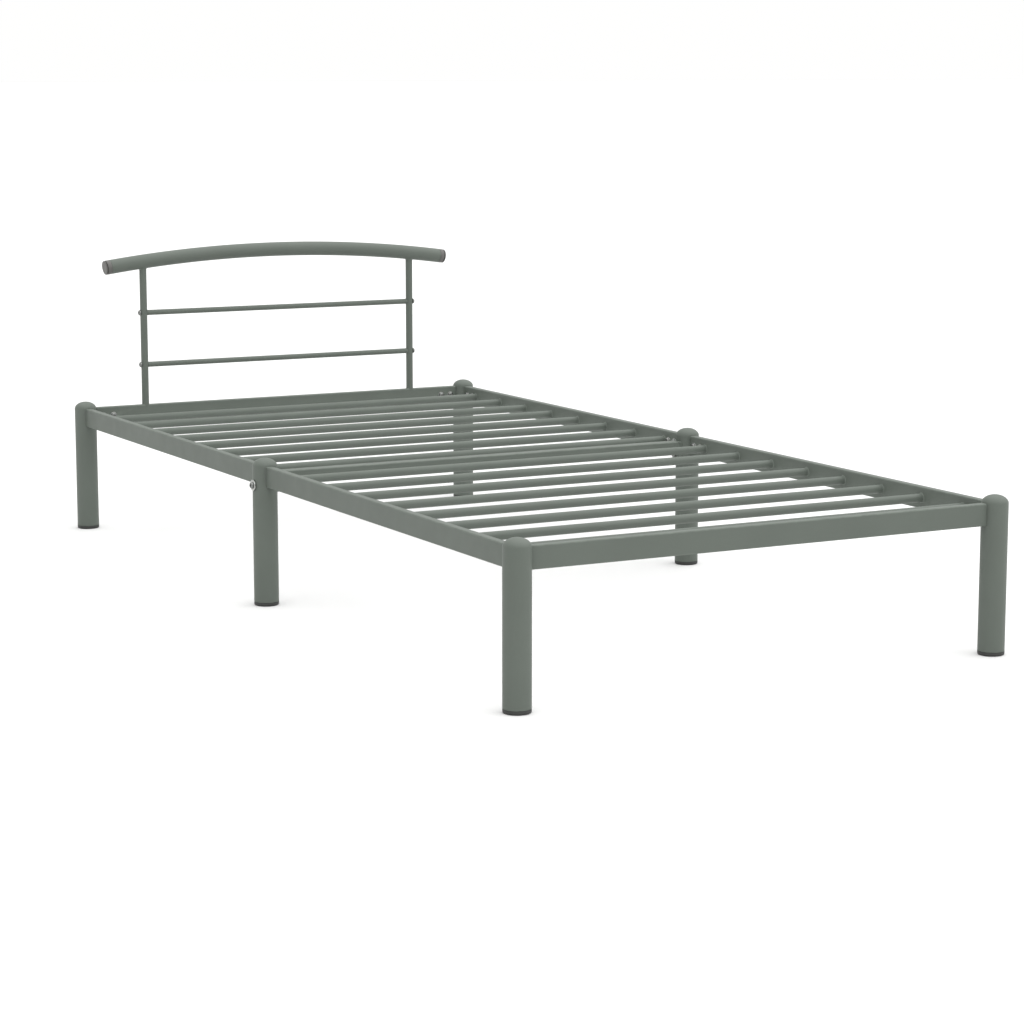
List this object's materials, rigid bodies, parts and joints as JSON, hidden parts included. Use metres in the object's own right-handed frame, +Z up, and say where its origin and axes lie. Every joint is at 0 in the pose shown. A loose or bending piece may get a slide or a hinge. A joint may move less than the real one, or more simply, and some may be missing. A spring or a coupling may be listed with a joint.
{
  "type": "single bed frame",
  "caption": "Painted steel tube single bed frame with round domed legs, rectangular rails, round cross slats and a low arched headboard with two thin rods.",
  "frame": {"origin": "on the floor, under the middle of the bed", "axes": "+X to the right side seen from the foot end, +Y along the bed to the head end, +Z up"},
  "size_m": [1.0134, 2.1, 0.63],
  "materials": {
    "paint": "satin powder coat, green-grey",
    "foot_plastic": "matt moulded plastic, near black",
    "plug_plastic": "matt moulded plastic, grey",
    "zinc": "bright zinc plate"
  },
  "bodies": {
    "root": {"leg_head_left": "paint", "foot_cap_head_left": "foot_plastic", "leg_head_right": "paint", "foot_cap_head_right": "foot_plastic", "leg_mid_left": "paint", "foot_cap_mid_left": "foot_plastic", "leg_mid_right": "paint", "foot_cap_mid_right": "foot_plastic", "leg_foot_left": "paint", "foot_cap_foot_left": "foot_plastic", "leg_foot_right": "paint", "foot_cap_foot_right": "foot_plastic", "head_rail": "paint", "head_rail_bracket_left": "zinc", "head_rail_bracket_right": "zinc", "foot_rail": "paint", "foot_rail_bracket_left": "zinc", "foot_rail_bracket_right": "zinc", "side_rail_head_left": "paint", "side_rail_head_left_bracket_mid": "zinc", "side_rail_head_left_bracket_head": "zinc", "side_rail_foot_left": "paint", "side_rail_foot_left_bracket_foot": "zinc", "side_rail_foot_left_bracket_mid": "zinc", "side_rail_head_right": "paint", "side_rail_head_right_bracket_mid": "zinc", "side_rail_head_right_bracket_head": "zinc", "side_rail_foot_right": "paint", "side_rail_foot_right_bracket_foot": "zinc", "side_rail_foot_right_bracket_mid": "zinc", "slat_01": "paint", "slat_02": "paint", "slat_03": "paint", "slat_04": "paint", "slat_05": "paint", "slat_06": "paint", "slat_07": "paint", "slat_08": "paint", "slat_09": "paint", "slat_10": "paint", "slat_11": "paint", "slat_12": "paint", "slat_13": "paint", "slat_14": "paint", "slat_15": "paint", "slat_16": "paint", "centre_cross_tube": "paint", "centre_bolt_left": "zinc", "centre_bolt_right": "zinc", "headboard_arch": "paint", "headboard_rod_lower": "paint", "headboard_rod_upper": "paint", "headboard_upright_left": "paint", "arch_plug_left": "plug_plastic", "rod_screw_lower_left": "zinc", "rod_screw_upper_left": "zinc", "headboard_upright_right": "paint", "arch_plug_right": "plug_plastic", "rod_screw_lower_right": "zinc", "rod_screw_upper_right": "zinc"}
  },
  "joints": []
}
